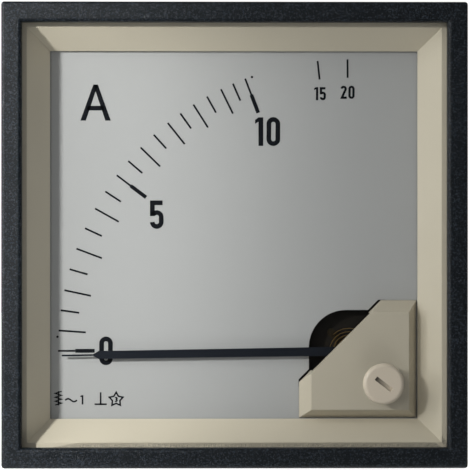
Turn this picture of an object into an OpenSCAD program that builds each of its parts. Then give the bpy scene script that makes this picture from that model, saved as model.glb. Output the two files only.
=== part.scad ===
// Square flush-mounting ammeter with a moving-iron movement and a quadrant scale.
// Origin: centre of the bezel's rear face, which seats on the panel.
// X to the right, Y into the panel, Z up; the window faces -Y. Millimetres.

/* [Bezel] */
// Side of the square bezel
bezel_side = 96; // [95:0.5:104]
// How far the bezel stands in front of the panel
bezel_depth = 6.3; // [5.8:0.1:8]
// Width of the bezel's face round the window
bezel_band = 4.2; // [3.8:0.1:4.4]
// Thickness of the lip that holds the pane
lip_t = 2; // [1.5:0.1:2.4]
// Corner radius of the bezel outline
bezel_corner_r = 0.8; // [0.4:0.1:2]
// Radius of the bezel's front edge
bezel_edge_r = 0.6; // [0.3:0.1:0.9]
// Radius that leads the lip down to the pane
lip_round_r = 0.85; // [0.5:0.05:0.95]
// Corner radius of the window opening
window_corner_r = 0.9; // [0.4:0.1:2]

/* [Case] */
// How far the bezel overlaps the panel round the case
bezel_overlap = 2.75; // [2.6:0.05:3]
// Clear depth of the case behind the movement's rear plate
rear_room = 13.4; // [11.5:0.1:30]
// Wall of the case
case_wall = 2; // [1.6:0.1:2.2]
// Corner radius of the case
case_corner_r = 1.5; // [0.8:0.1:3]
// Side of the square corner posts that carry the dial
corner_post = 6; // [5:0.5:7]
// Length of each catch that holds the bezel on the case
catch_len = 11; // [6:1:16]
// How far a catch stands out of the case wall
catch_rise = 0.45; // [0.3:0.05:0.6]
// Length of the pockets for the panel clamps
clamp_len = 10; // [6:1:14]
// Width of the pockets for the panel clamps
clamp_w = 7; // [4:0.5:10]
// Distance between the two clamp pockets of a side
clamp_pitch = 48; // [36:1:56]
// Distance of the clamp pockets from the case's rear
clamp_setback = 12; // [4:1:16]

/* [Pane] */
// Thickness of the pane
pane_t = 2; // [1.6:0.1:2.4]

/* [Mask frame] */
// Thickness of the flange under the pane
flange_t = 1; // [0.8:0.1:1.4]
// Width of the flat ledge that shows round the slope
slope_ledge = 0.8; // [0.6:0.1:1.2]
// Width of the slope in plan
slope_w = 4.5; // [4:0.1:5.5]
// Depth of the slope
slope_depth = 4.8; // [4:0.2:6]
// Height of the small upright edge behind the slope
slope_edge = 0.4; // [0.2:0.1:0.6]

/* [Dial] */
// Distance from the slope's rear to the dial's face
dial_gap = 1; // [0.8:0.1:1.4]
// Thickness of the dial plate
dial_t = 0.8; // [0.5:0.1:1]
// How far the dial plate reaches under the mask
dial_lap = 3; // [2.6:0.1:3.8]
// Distance from the cover's near edges to the cut-out's straight edges
cutout_inset = 2.1; // [1.6:0.1:2.4]
// Radius of the cut-out's round corner
cutout_r = 7.8; // [5:0.1:8.5]

/* [Corner cover] */
// Side of the cover
cover_side = 24.75; // [24.2:0.05:25.4]
// Distance of the cover's slanting wall from the pointer's axis
slant_reach = 2.87; // [2.8:0.01:3.1]
// Width of the bevel on the near edges
bevel_near = 2.4; // [1.6:0.1:2.6]
// Width of the bevel on the far edges
bevel_far = 2; // [1.2:0.1:2.4]
// Wall of the cover
cover_wall = 0.7; // [0.5:0.1:0.9]
// Clear space between pane and cover
cover_gap = 1.6; // [1.2:0.1:1.7]
// Length of the arch under which the pointer passes
arch_len = 17; // [15:0.5:18]

/* [Pointer] */
// Distance of the pointer's axis from the dial's two visible edges
pivot_inset = 14.2; // [13.9:0.05:14.5]
// Angle of the resting pointer below the horizontal
rest_angle = 0.85; // [0:0.05:2]
// Distance from the pointer's tip to the dial's visible edge
tip_gap = 2.5; // [1.5:0.1:8]
// Length of the needle at the tip
needle_len = 6.5; // [2:0.1:14]
// Width of the broad part
pointer_bar_w = 1.88; // [1.2:0.02:2.4]
// Width of the pointer's broad part at its far end
pointer_tip_w = 1.65; // [1:0.05:1.85]
// Width of the needle at the tip
needle_w = 0.35; // [0.2:0.05:0.8]
// Length of the taper between bar and needle
taper_len = 1.2; // [0.5:0.1:4]
// Thickness of the pointer sheet
pointer_t = 0.3; // [0.2:0.05:0.4]
// Radius of the counterweight
weight_r = 2.6; // [1.8:0.05:2.7]
// Length of the counterweight along the axis
weight_t = 1.4; // [0.8:0.1:1.5]
// Distance of the counterweight from the axis
weight_reach = 6.2; // [5.5:0.1:6.3]
// Swing of the pointer below its rest
swing_down = 2; // [1:0.5:4]
// Swing of the pointer above its rest
swing_up = 93; // [90:1:94]

/* [Zero adjuster] */
// Distance of the adjuster from the pointer's axis
adjuster_reach = 9.1; // [9:0.1:9.4]
// Radius of the adjuster's disc
adjuster_r = 4.25; // [3.8:0.05:4.6]
// Height of the adjuster's head in front of the pane
adjuster_head_t = 1.15; // [0.9:0.05:1.4]
// Radius of the adjuster head's rounded rim
adjuster_rim_r = 0.85; // [0.3:0.05:0.85]
// Radius of the adjuster's shaft in the pane
adjuster_shaft_r = 2.5; // [2.2:0.1:2.6]
// Radial clearance of the shaft in the pane
shaft_clear = 0.05; // [0.03:0.01:0.08]
// Eccentricity of the adjuster's pin
pin_throw = 1.2; // [1:0.05:1.3]
// Radius of the adjuster's pin
pin_r = 0.6; // [0.4:0.05:0.7]
// Clearance of the pin in the lever's fork on each side
fork_clear = 0.1; // [0.06:0.01:0.15]
// Length of the screwdriver slot
slot_len = 4.1; // [2.4:0.1:4.6]
// Width of the screwdriver slot
slot_w = 0.85; // [0.5:0.05:1.1]
// Depth of the screwdriver slot
slot_depth = 0.5; // [0.4:0.05:0.7]
// Angle of the slot below the horizontal
slot_angle = 37; // [0:1:90]

/* [Movement] */
// Thickness of the front bridge
bridge_t = 0.8; // [0.6:0.1:0.9]
// Distance of the bridge posts from the axis
bridge_reach = 8; // [7.8:0.1:8.2]
// Radius of the bridge posts
bridge_post_r = 1.5; // [1.2:0.1:1.6]
// Length of the screws that hold the front bridge
bridge_screw_len = 4.8; // [3:0.2:5]
// Radius of the spindle
spindle_r = 0.75; // [0.6:0.05:0.8]
// Turns of the hairspring
spring_turns = 5; // [3:1:6]
// Radius of the hairspring's outer turn
spring_r = 4.8; // [4.4:0.1:5]
// Thickness of the hairspring's strip
spring_t = 0.15; // [0.1:0.01:0.2]
// Width of the hairspring's strip along the axis
spring_w = 0.4; // [0.3:0.05:0.5]
// Thickness of the front and rear plates
plate_t = 1.6; // [1.2:0.1:2]
// Distance from the dial's rear to the front plate
plate_drop = 2.7; // [2.6:0.1:3.2]
// Thickness of the damping lid
lid_t = 1.2; // [0.8:0.1:1.6]
// Height of the lid's boss for the rear bearing
lid_boss = 3.6; // [3:0.1:4.4]
// Length of the rear bearing screw
bearing_len = 4; // [3.4:0.1:4.8]
// Distance of the three frame posts from the axis
frame_reach = 18.5; // [18.5:0.1:18.8]
// Outer radius of the frame posts
frame_post_r = 2.6; // [2.2:0.1:2.8]
// Radius of the frame screws' shanks
frame_screw_r = 1.25; // [1:0.05:1.4]
// Radius of the frame screws' heads
frame_head_r = 2.3; // [1.9:0.1:2.6]
// Height of the frame screws' heads
frame_head_t = 1.4; // [1:0.1:1.8]
// Grip of the frame screws in the case's bosses
screw_grip = 9; // [6:0.5:10]
// Length of the coil bobbin
bobbin_len = 22.4; // [20:0.2:23]
// Radius of the bobbin's flanges
bobbin_r = 15; // [14.8:0.1:15.2]
// Inner radius of the bobbin's tube
bobbin_bore_r = 7.2; // [7.1:0.1:7.4]
// Wall of the bobbin's tube and flanges
bobbin_wall = 1.1; // [0.9:0.1:1.3]
// Diameter of the coil's wire
wire_d = 2; // [1.6:0.1:2]
// Layers of the coil
wire_layers = 3; // [2:1:3]
// Radius of the damping cup
cup_r = 11.5; // [10.5:0.1:11.6]
// Depth of the damping cup
cup_depth = 6; // [5:0.2:6.4]
// Wall of the damping cup
cup_wall = 1; // [0.8:0.1:1.2]

/* [Terminals] */
// Distance between the two terminal studs
terminal_pitch = 36; // [34:1:44]
// Height of the studs above the centre
terminal_height = 14; // [12:1:20]
// Radius of the studs' free ends
stud_r = 2; // [1.8:0.05:2.2]
// Radius of the studs' shanks, where the nuts sit
stud_shank_r = 2.4; // [2.3:0.05:2.6]
// How far the studs' free ends stand out
stud_free = 7.4; // [5:0.2:12]
// Chamfer at the studs' ends
stud_chamfer = 0.6; // [0.3:0.1:0.8]
// Width of the hexagon nuts across flats
nut_flats = 8; // [7:0.5:9]
// Thickness of the nuts
nut_t = 3; // [2.5:0.1:4]
// Outer radius of the washers
washer_r = 5; // [4.2:0.1:5]
// Thickness of the washers
washer_t = 0.8; // [0.5:0.1:1.2]
// Height of the raised seats round the studs
seat_rise = 2; // [1:0.5:3]
// Margin of the raised seats round the washers
seat_margin = 2; // [1:0.5:3]
// Thickness of the barrier between the terminals
barrier_t = 2; // [1.2:0.2:3]
// Length of the barrier between the terminals
barrier_len = 22; // [12:1:30]
// Width of the connection straps
strap_w = 6; // [5:0.5:6.5]
// Thickness of the connection straps
strap_t = 0.8; // [0.6:0.1:1]

/* [Hidden] */
$fn = 64;

// Clearances
fit = 0.15;        // moulded parts that slide into each other, on each side
seat_clear = 0.03; // pins and screws in their own holes
turn_clear = 0.1;  // moving faces that pass close to each other
eps = 0.01;

// Squares round the centre, from the bezel inwards
window_side = bezel_side - 2 * bezel_band;
case_side = bezel_side - 2 * bezel_overlap;
case_bore = case_side - 2 * case_wall;
case_bore_r = 3 * fit;
pocket = case_side + 2 * fit;
slope_front = window_side - 2 * slope_ledge;
slope_rear = slope_front - 2 * slope_w;
dial_side = slope_rear + 2 * dial_lap;

// Levels along Y, from the window inwards
y_pane = -bezel_depth + lip_t;
y_flange = y_pane + pane_t;
y_rim = y_flange + flange_t;
y_slope = y_flange + slope_depth;
y_dial = y_slope + dial_gap;
y_dial_rear = y_dial + dial_t;
y_cover = y_flange + cover_gap;
y_bridge = y_cover + cover_wall + 3 * turn_clear;
y_bridge_rear = y_bridge + bridge_t;
y_bearing_rear = y_bridge_rear + 0.3;
y_pointer = y_dial - 1.75;
y_pointer_rear = y_pointer + pointer_t;
y_hub = y_bearing_rear + 1.5 * turn_clear;
y_plate = y_dial_rear + plate_drop;
y_bobbin = y_plate + plate_t;
y_bobbin_rear = y_bobbin + bobbin_len;
y_cup = y_bobbin_rear + plate_t;
y_lid = y_cup + cup_depth;
y_case_floor = y_cup + rear_room;
case_depth = y_case_floor + case_wall;
y_seat = case_depth + seat_rise;
y_nut = y_seat + washer_t;
stud_land = 0.2;
y_stud_free = y_nut + nut_t + stud_land;

// Bezel and case
y_catch = y_rim + 0.2;
catch_t = 0.7;

// Corner cover
cover_far = slope_rear / 2 - turn_clear;
cover_near = cover_far - cover_side;
pivot_off = slope_rear / 2 - pivot_inset;
slant = 2 * pivot_off - slant_reach * sqrt(2);
cutout_near = cover_near + cutout_inset;
peg_r = 0.8;
post_r = 1.3;
peg_near = cover_near + bevel_near + post_r + 0.1;
peg_far = cover_far - bevel_far - post_r - 0.1;

// Movement
pivot = [pivot_off, -pivot_off];
pointer_len = pivot_off + slope_rear / 2 - tip_gap;
pointer_bar_len = pointer_len - needle_len - taper_len;
pin_reach = adjuster_reach + pin_throw;
adjuster_at = [pivot_off + adjuster_reach / sqrt(2), -pivot_off - adjuster_reach / sqrt(2)];
lever_t = 0.5;
bush_r = 1.9;
y_lever = y_plate - 2.45;
y_bush_flange = y_lever + lever_t + turn_clear;
y_spring = y_lever - 0.85;
y_pin_end = y_lever + lever_t + 0.2;
collet_r = 1.1;
stud_arm_reach = 6.2;
spring_stud_r = 0.4;
spring_stud_reach = spring_r + spring_t / 2 + spring_stud_r + 0.02;
bearing_r = 1.15;
pivot_r = 0.25;
tail_w = 1.2;
stop_r = 0.4;
stop_reach = 3.6;
frame_angles = [45, 135, 225];
winding_r = bobbin_bore_r + bobbin_wall + 0.05;
outer_wire_r = winding_r + (wire_layers - 0.5) * wire_d;
tail_angles = [80, 180];
vane_angle = 20;
stud_angles = [-1, 1];

// ---------- drawing aids ----------

// Carries a flat shape, drawn as X and Z, from y0 to y1.
module slab(y0, y1) {
    translate([0, y1, 0])
        rotate([90, 0, 0])
            linear_extrude(height = y1 - y0)
                children();
}

// Turns a profile, drawn as radius and Y, about the Y axis.
module turned() {
    rotate([-90, 0, 0])
        rotate_extrude()
            children();
}

module rod(y0, y1, r) {
    slab(y0, y1) circle(r);
}

module at(p) {
    translate([p[0], 0, p[1]]) children();
}

// Points +X at an angle, counter-clockwise as seen from the window.
module aim(angle) {
    rotate([0, -angle, 0]) children();
}

module polar(reach, angle) {
    at([reach * cos(angle), reach * sin(angle)]) children();
}

module rounded_square(side, r) {
    square([side - 2 * r, side], center = true);
    square([side, side - 2 * r], center = true);
    for (x = [-1, 1], z = [-1, 1])
        translate([x * (side / 2 - r), z * (side / 2 - r)])
            circle(r);
}

// Four mitred bars round a square; the profile is drawn as distance from the centre and Y.
module picture_frame(reach, y0, y1) {
    for (turn = [0 : 90 : 270])
        rotate([0, turn, 0])
            intersection() {
                linear_extrude(height = 2 * reach, center = true) children();
                slab(y0, y1) polygon([[0, 0], [reach, -reach], [reach, reach]]);
            }
}

// What a round of radius r takes off a square corner at the origin; sx and sy point into the stock.
module corner_round(r, sx, sy) {
    difference() {
        translate([sx > 0 ? -eps : -r, sy > 0 ? -eps : -r]) square(r + eps);
        translate([sx * r, sy * r]) circle(r);
    }
}

// A flat bar with round ends from p to q.
module link(p, q, w) {
    d = q - p;
    translate(p) circle(w / 2);
    translate(q) circle(w / 2);
    translate(p)
        rotate(atan2(d[1], d[0]))
            translate([0, -w / 2])
                square([norm(d), w]);
}

// Part of a ring between two radii, spanning an angle either side of +X.
module ring_sector(r_in, r_out, half_angle) {
    far = 2 * r_out;
    intersection() {
        difference() {
            circle(r_out);
            circle(r_in);
        }
        polygon([[0, 0], [far * cos(half_angle), -far * sin(half_angle)], [far, 0],
                 [far * cos(half_angle), far * sin(half_angle)]]);
    }
}

function polar_point(reach, angle) = pivot + reach * [cos(angle), sin(angle)];

// ---------- bezel, pane, mask, case ----------

module bezel_profile() {
    outer = bezel_side / 2;
    inner = window_side / 2;
    difference() {
        translate([inner, -bezel_depth]) square([outer - inner, bezel_depth]);
        translate([inner - 1, y_pane]) square([pocket / 2 - inner + 1, -y_pane + 1]);
        translate([outer, -bezel_depth]) corner_round(bezel_edge_r, -1, 1);
        translate([inner, -bezel_depth]) corner_round(lip_round_r, 1, 1);
    }
}

module front_bezel() {
    color("#2b2f33")
    difference() {
        intersection() {
            picture_frame(bezel_side, -bezel_depth - 1, 1) bezel_profile();
            slab(-bezel_depth - 1, 1) rounded_square(bezel_side, bezel_corner_r);
        }
        // grooves for the case's catches
        for (turn = [0 : 90 : 270], side = [-1, 1])
            rotate([0, turn, 0])
                translate([case_side / 2, y_catch - fit, side * case_side / 4 - catch_len / 2 - fit])
                    cube([catch_rise + fit, catch_t + 2 * fit, catch_len + 2 * fit]);
    }
}

module window_pane() {
    color("#dfe8ea", 0.35)
    slab(y_pane, y_flange)
        difference() {
            rounded_square(pocket - 2 * fit - 0.2, window_corner_r);
            translate(adjuster_at) circle(adjuster_shaft_r + shaft_clear);
        }
}

// Flange under the pane, slope down to the dial and the small upright edge behind it.
module mask_profile() {
    front = slope_front / 2;
    rear = slope_rear / 2;
    clear = case_bore / 2 - fit;
    polygon([
        [pocket / 2 - fit - 0.1, y_flange],
        [front, y_flange],
        [rear, y_slope],
        [rear, y_slope + slope_edge],
        [rear + 0.6, y_slope + slope_edge],
        [clear, y_rim],
        [pocket / 2 - fit - 0.1, y_rim],
    ]);
}

module mask_frame() {
    pad_in = slope_rear / 2 + 1.5;
    pad_out = dial_side / 2 - 0.3;
    pad_y = y_slope - (pad_in - slope_rear / 2) * slope_depth / ((slope_front - slope_rear) / 2) + 0.2;
    color("#cfc8b4")
    union() {
        picture_frame(bezel_side, y_flange - 1, y_dial + 1) mask_profile();
        // pads that hold the dial down on the corner posts
        for (turn = [0 : 90 : 270], side = [-1, 1])
            rotate([0, turn, 0])
                translate([pad_in, pad_y, side * (pad_in - 4) - 2])
                    cube([pad_out - pad_in, y_dial - pad_y, 4]);
    }
}

module boss(y0, r, bore, bore_depth) {
    difference() {
        rod(y0, y_case_floor + eps, r);
        rod(y0 - 1, y0 + bore_depth, bore);
    }
}

module case() {
    half = case_side / 2;
    color("#24272a")
    difference() {
        union() {
            difference() {
                slab(y_rim, case_depth) rounded_square(case_side, case_corner_r);
                slab(y_rim - 1, y_case_floor) rounded_square(case_bore, case_bore_r);
            }
            // corner posts under the dial
            for (x = [-1, 1], z = [-1, 1])
                slab(y_dial_rear, y_case_floor + eps)
                    translate([x * (case_bore - corner_post) / 2, z * (case_bore - corner_post) / 2])
                        square(corner_post + 2 * eps, center = true);
            // bosses for the frame screws
            for (a = frame_angles)
                at(polar_point(frame_reach, a))
                    boss(y_cup, frame_screw_r + 2, frame_screw_r + seat_clear, screw_grip + 1);
            // catches for the bezel
            for (turn = [0 : 90 : 270], side = [-1, 1])
                rotate([0, turn, 0])
                    translate([half - 1, y_catch, side * case_side / 4 - catch_len / 2])
                        cube([1 + catch_rise, catch_t, catch_len]);
            // raised seats and the barrier between the terminals
            for (s = stud_angles)
                at([s * terminal_pitch / 2, terminal_height])
                    rod(case_depth - eps, y_seat, washer_r + seat_margin);
            slab(case_depth - eps, y_stud_free + 2)
                translate([0, terminal_height]) square([barrier_t, barrier_len], center = true);
        }
        for (s = stud_angles)
            at([s * terminal_pitch / 2, terminal_height])
                rod(y_case_floor - 1, y_seat + 1, stud_shank_r + 0.05);
        // pockets for the panel clamps, two in each side wall
        for (turn = [0 : 90 : 270], side = [-1, 1])
            rotate([0, turn, 0])
                translate([half, case_depth - clamp_setback - clamp_len / 2, side * clamp_pitch / 2])
                    cube([case_wall, clamp_len, clamp_w], center = true);
    }
}

// ---------- dial and corner cover ----------

// Cover outline with its near and far edges set in by a and b, and its slanting wall set in by c.
module cover_outline(a, b, c) {
    near = cover_near + a;
    far = cover_far - b;
    cut = slant + c * sqrt(2);
    polygon([[near, -far], [far, -far], [far, -near], [cut - near, -near], [near, near - cut]]);
}

module dial_plate() {
    hidden_far = pivot_off + bridge_reach / sqrt(2) + 4.5;
    color("#b4b5b2")
    slab(y_dial, y_dial_rear)
        difference() {
            rounded_square(dial_side, 1);
            // cut-out over the movement, with one round corner towards the scale
            difference() {
                translate([cutout_near, -hidden_far])
                    square([hidden_far - cutout_near, hidden_far - cutout_near]);
                translate([cutout_near, -cutout_near]) mirror([0, 1]) corner_round(cutout_r, 1, 1);
            }
            // slit along the foot of the slanting wall
            intersection() {
                cover_outline(-0.05, cover_wall, -0.45);
                translate(slant / 2 * [1, -1])
                    rotate(45)
                        square([4 * cover_near, 1.4], center = true);
            }
            for (x = [peg_near, peg_far], z = [peg_near, peg_far])
                if (x + z > slant)
                    translate([x, -z]) circle(peg_r + 0.1);
        }
}

module corner_cover() {
    slope = (y_dial - y_cover) / bevel_near;
    color("#a8a08c")
    difference() {
        union() {
            difference() {
                hull() {
                    slab(y_cover, y_cover + eps) cover_outline(bevel_near, bevel_far, 0.2);
                    slab(y_dial - eps, y_dial) cover_outline(0, 0, 0);
                }
                hull() {
                    slab(y_cover + cover_wall, y_cover + cover_wall + eps)
                        cover_outline(bevel_near + cover_wall / 2, bevel_far + cover_wall / 2,
                            0.2 + cover_wall);
                    slab(y_dial, y_dial + eps) cover_outline(cover_wall, cover_wall, cover_wall);
                }
            }
            // posts that stand on the dial, each with a peg in it
            for (x = [peg_near, peg_far], z = [peg_near, peg_far])
                if (x + z > slant)
                    at([x, -z]) {
                        rod(y_cover + cover_wall / 2, y_dial, post_r);
                        rod(y_cover + cover_wall / 2, y_dial_rear + 0.6, peg_r);
                    }
        }
        // arch over the pointer, the hub and the spring
        at(pivot)
            aim(135)
                translate([0, y_bridge_rear + turn_clear, -arch_len / 2])
                    cube([8, y_dial, arch_len]);
        at(adjuster_at) rod(y_cover - 1, y_cover + 2, pin_throw + pin_r + 0.6);
    }
}

// ---------- zero adjuster, lever and hairspring ----------

module zero_adjuster() {
    disc_rear = y_pane - 0.05;
    y_disc = disc_rear - adjuster_head_t;
    neck_r = adjuster_shaft_r - 0.5;
    rim = adjuster_rim_r;
    color("#b5ac99")
    at(adjuster_at)
        union() {
            difference() {
                turned() {
                    translate([0, y_disc]) square([adjuster_r - rim, disc_rear - y_disc]);
                    translate([0, y_disc + rim]) square([adjuster_r, disc_rear - y_disc - rim]);
                    intersection() {
                        translate([adjuster_r - rim, y_disc + rim]) circle(rim);
                        translate([0, y_disc]) square([adjuster_r, disc_rear - y_disc]);
                    }
                }
                aim(-slot_angle)
                    translate([-slot_len / 2, y_disc - 1, -slot_w / 2])
                        cube([slot_len, 1 + slot_depth, slot_w]);
            }
            rod(disc_rear - eps, y_flange, adjuster_shaft_r);
            rod(y_flange - eps, y_cover - turn_clear, neck_r);
            polar(pin_throw, -45) rod(y_flange, y_pin_end, pin_r);
        }
}

// Ring that is pressed on the adjuster's neck behind the pane.
module adjuster_clip() {
    color("#b5ac99")
    at(adjuster_at)
        slab(y_flange + 0.05, y_cover - turn_clear)
            difference() {
                circle(adjuster_shaft_r + 1);
                circle(adjuster_shaft_r - 0.5 + seat_clear);
            }
}

module zero_lever() {
    hole = bush_r + turn_clear;
    fork_w = 2 * (pin_r + fork_clear);
    tip = pin_reach + pin_r + 0.6;
    color("#9a9c9c")
    at(pivot)
        union() {
            slab(y_lever, y_lever + lever_t)
                difference() {
                    union() {
                        circle(hole + 1.1);
                        rotate(-45) translate([0, -fork_w / 2 - 0.9]) square([tip, fork_w + 1.8]);
                        rotate(135) link([0, 0], [stud_arm_reach - 0.8, 0], 1.6);
                    }
                    circle(hole);
                    rotate(-45)
                        translate([pin_reach - pin_throw - pin_r - 1, -fork_w / 2])
                            square([tip, fork_w]);
                }
            // stud that holds the outer end of the hairspring
            polar(spring_stud_reach, 135) rod(y_spring, y_lever + eps, spring_stud_r);
        }
}

// Flat strip wound from the spindle's collet out to the lever's stud.
module hairspring() {
    steps = 24 * spring_turns;
    start = collet_r + spring_t / 2 + 0.02;
    pitch = (spring_r - start) / steps;
    function edge(i, side) =
        (start + pitch * i + side * spring_t / 2) * [cos(135 + 15 * i), sin(135 + 15 * i)];
    color("#b08a3c")
    at(pivot)
        slab(y_spring, y_spring + spring_w)
            polygon([
                for (i = [0 : steps]) edge(i, 1),
                for (i = [steps : -1 : 0]) edge(i, -1),
            ]);
}

// Flanged bush on the front plate, on which the lever turns and through which the spindle passes.
module lever_bush() {
    color("#b89a52")
    at(pivot)
        turned()
            difference() {
                union() {
                    translate([0, y_lever - 0.2]) square([bush_r, y_bobbin - y_lever + 0.2]);
                    translate([0, y_bush_flange]) square([bush_r + 1.3, y_plate - y_bush_flange]);
                }
                translate([0, y_lever - 1]) square([spindle_r + 0.35, y_bobbin - y_lever + 2]);
            }
}

// ---------- bridge and bearings ----------

module front_bridge() {
    p = bridge_reach * [cos(45), sin(45)];
    color("#a9abad")
    at(pivot)
        difference() {
            union() {
                slab(y_bridge, y_bridge_rear) link(-p, p, 2 * (bridge_post_r + 0.2));
                for (s = [-1, 1])
                    at(s * p) {
                        rod(y_bridge_rear - eps, y_plate, bridge_post_r);
                        rod(y_plate - eps, y_bobbin, bridge_post_r - 0.5);
                    }
            }
            rod(y_bridge - 1, y_bridge_rear + 1, bearing_r + seat_clear);
            for (s = [-1, 1])
                at(s * p) {
                    rod(y_bridge - 1, y_bridge + 0.4, bridge_post_r - 0.1 + seat_clear);
                    rod(y_bridge - 1, y_bridge + bridge_screw_len + 0.2, 0.7 + seat_clear);
                }
            for (a = stop_angles())
                polar(stop_reach, a) rod(y_bridge + 0.2, y_bridge_rear + 1, stop_r + seat_clear);
        }
}

// Where the tail meets a stop: half its width, the stop's radius and a hair of air.
function stop_lead() = asin((tail_w / 2 + stop_r + fit) / stop_reach);
function stop_angles() = [
    rest_angle + swing_down + stop_lead(),
    rest_angle - swing_up - stop_lead(),
];

module stop_pins() {
    color("#8c8f92")
    at(pivot)
        for (a = stop_angles())
            polar(stop_reach, a) rod(y_bridge + 0.2, y_pointer_rear + 0.2, stop_r);
}

module bridge_screws() {
    head_r = bridge_post_r - 0.1;
    color("#9b9ea1")
    at(pivot)
        for (s = [-1, 1])
            polar(s * bridge_reach, 45)
                difference() {
                    union() {
                        rod(y_bridge, y_bridge + 0.4, head_r);
                        rod(y_bridge, y_bridge + bridge_screw_len, 0.7);
                    }
                    translate([-head_r - 1, y_bridge - 1, -0.15]) cube([2 * head_r + 2, 1.2, 0.3]);
                }
}

// Screw with a blind hole for one end of the spindle; dir is 1 where the hole faces +Y.
module bearing_screw(y_hole, length, dir) {
    translate([0, y_hole, 0])
        mirror([0, dir > 0 ? 0 : 1, 0])
            difference() {
                rod(-length, 0, bearing_r);
                rod(-0.5, 1, pivot_r + turn_clear);
                translate([-bearing_r - 1, -length - 1, -0.15]) cube([2 * bearing_r + 2, 1.3, 0.3]);
            }
}

module front_bearing() {
    color("#b89a52")
    at(pivot) bearing_screw(y_bearing_rear, y_bearing_rear - y_bridge, 1);
}

module rear_bearing() {
    color("#b89a52")
    at(pivot) bearing_screw(y_lid + 0.4, bearing_len, -1);
}

// ---------- what swings with the pointer ----------

module pointer() {
    half = pointer_bar_w / 2;
    tip_half = pointer_tip_w / 2;
    taper_end = pointer_bar_len + taper_len;
    color("#141c26")
    at(pivot)
        aim(180 + rest_angle)
            slab(y_pointer, y_pointer_rear)
                difference() {
                    union() {
                        circle(2.1);
                        translate([-weight_reach, 0]) circle(1.3);
                        translate([-weight_reach, -tail_w / 2]) square([weight_reach, tail_w]);
                        polygon([
                            [0, -half], [pointer_bar_len, -tip_half],
                            [taper_end, -needle_w / 2], [pointer_len, -needle_w / 2],
                            [pointer_len, needle_w / 2], [taper_end, needle_w / 2],
                            [pointer_bar_len, tip_half], [0, half],
                        ]);
                    }
                    circle(collet_r + seat_clear);
                    translate([-weight_reach, 0]) circle(0.5 + seat_clear);
                }
}

// Collet on the spindle; its flange carries the pointer and its rear end the hairspring.
module pointer_hub() {
    color("#b89a52")
    at(pivot)
        turned()
            difference() {
                union() {
                    translate([0, y_hub]) square([collet_r, y_spring + spring_w + 0.1 - y_hub]);
                    translate([0, y_pointer_rear]) square([collet_r + 0.7, 0.5]);
                }
                translate([0, y_hub - 1]) square([spindle_r + seat_clear, y_spring + 3 - y_hub]);
            }
}

module counterweight() {
    color("#b89a52")
    at(pivot)
        polar(weight_reach, rest_angle)
            union() {
                rod(y_pointer_rear, y_pointer_rear + weight_t, weight_r);
                rod(y_pointer - 0.2, y_pointer_rear + eps, 0.5);
            }
}

module spindle() {
    front_tip = y_bearing_rear - 0.4;
    rear_tip = y_lid + 0.4 + 0.4;
    front_step = y_bearing_rear + turn_clear;
    rear_step = y_lid + 0.4 - turn_clear;
    color("#c9cbcd")
    at(pivot)
        turned()
            union() {
                translate([0, front_step]) square([spindle_r, rear_step - front_step]);
                translate([0, front_tip]) square([pivot_r, rear_tip - front_tip]);
            }
}

// Thin curved vane on two arms, inside the coil.
module moving_iron() {
    r = bobbin_bore_r - 1.8;
    y0 = y_bobbin + 4;
    y1 = y_bobbin_rear - 6;
    arm_w = 1.2;
    color("#8e9296")
    at(pivot)
        aim(rest_angle)
            union() {
                slab(y0, y1) ring_sector(r - 0.3, r, 25);
                for (y = [y0, y1 - 0.5])
                    slab(y, y + 0.5)
                        difference() {
                            union() {
                                circle(spindle_r + 0.7);
                                translate([0, -arm_w / 2]) square([r - 0.15, arm_w]);
                            }
                            circle(spindle_r + seat_clear);
                        }
            }
}

// Flat paddle that sweeps the damping cup.
module damping_vane() {
    y0 = y_cup + cup_wall + 0.5;
    y1 = y_lid - 0.5;
    tip = cup_r - cup_wall - 0.4;
    color("#c4c6c8")
    at(pivot)
        union() {
            aim(180 + vane_angle)
                translate([spindle_r + 0.3, y0, -0.15]) cube([tip - spindle_r - 0.3, y1 - y0, 0.3]);
            slab(y0, y1)
                difference() {
                    circle(spindle_r + 0.6);
                    circle(spindle_r + seat_clear);
                }
        }
}

// ---------- frame, coil and irons ----------

// Plate outline: a disc over the coil with three arms to the frame posts.
module plate_outline() {
    circle(bobbin_r - 2);
    for (a = frame_angles)
        rotate(a) link([0, 0], [frame_reach, 0], 2 * frame_post_r + 1.6);
}

module frame_holes(r) {
    for (a = frame_angles)
        rotate(a) translate([frame_reach, 0]) circle(r);
}

module front_plate() {
    color("#1d1b1a")
    at(pivot)
        slab(y_plate, y_bobbin)
            difference() {
                plate_outline();
                circle(bush_r + seat_clear);
                frame_holes(frame_screw_r + 0.1);
                for (s = [-1, 1])
                    rotate(45) translate([s * bridge_reach, 0]) circle(bridge_post_r - 0.5 + seat_clear);
            }
}

module rear_plate() {
    color("#1d1b1a")
    at(pivot)
        slab(y_bobbin_rear, y_cup)
            difference() {
                union() {
                    plate_outline();
                    for (a = tail_angles)
                        rotate(a) translate([outer_wire_r, 0]) circle(wire_d / 2 + 1.6);
                }
                circle(spindle_r + 0.6);
                frame_holes(frame_screw_r + 0.1);
                for (a = tail_angles)
                    rotate(a) translate([outer_wire_r, 0]) circle(wire_d / 2 + 0.3);
            }
}

module frame_posts() {
    color("#b89a52")
    for (a = frame_angles)
        at(polar_point(frame_reach, a))
            slab(y_bobbin, y_bobbin_rear)
                difference() {
                    circle(frame_post_r);
                    circle(frame_screw_r + 0.1);
                }
}

module frame_screws() {
    color("#9b9ea1")
    for (a = frame_angles)
        at(polar_point(frame_reach, a))
            difference() {
                union() {
                    rod(y_plate - frame_head_t, y_plate, frame_head_r);
                    rod(y_plate - frame_head_t, y_cup + screw_grip, frame_screw_r);
                }
                // driver slot
                translate([-2 * frame_head_r, y_plate - 1.5 * frame_head_t, -frame_head_r / 8])
                    cube([4 * frame_head_r, frame_head_t, frame_head_r / 4]);
            }
}

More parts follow.
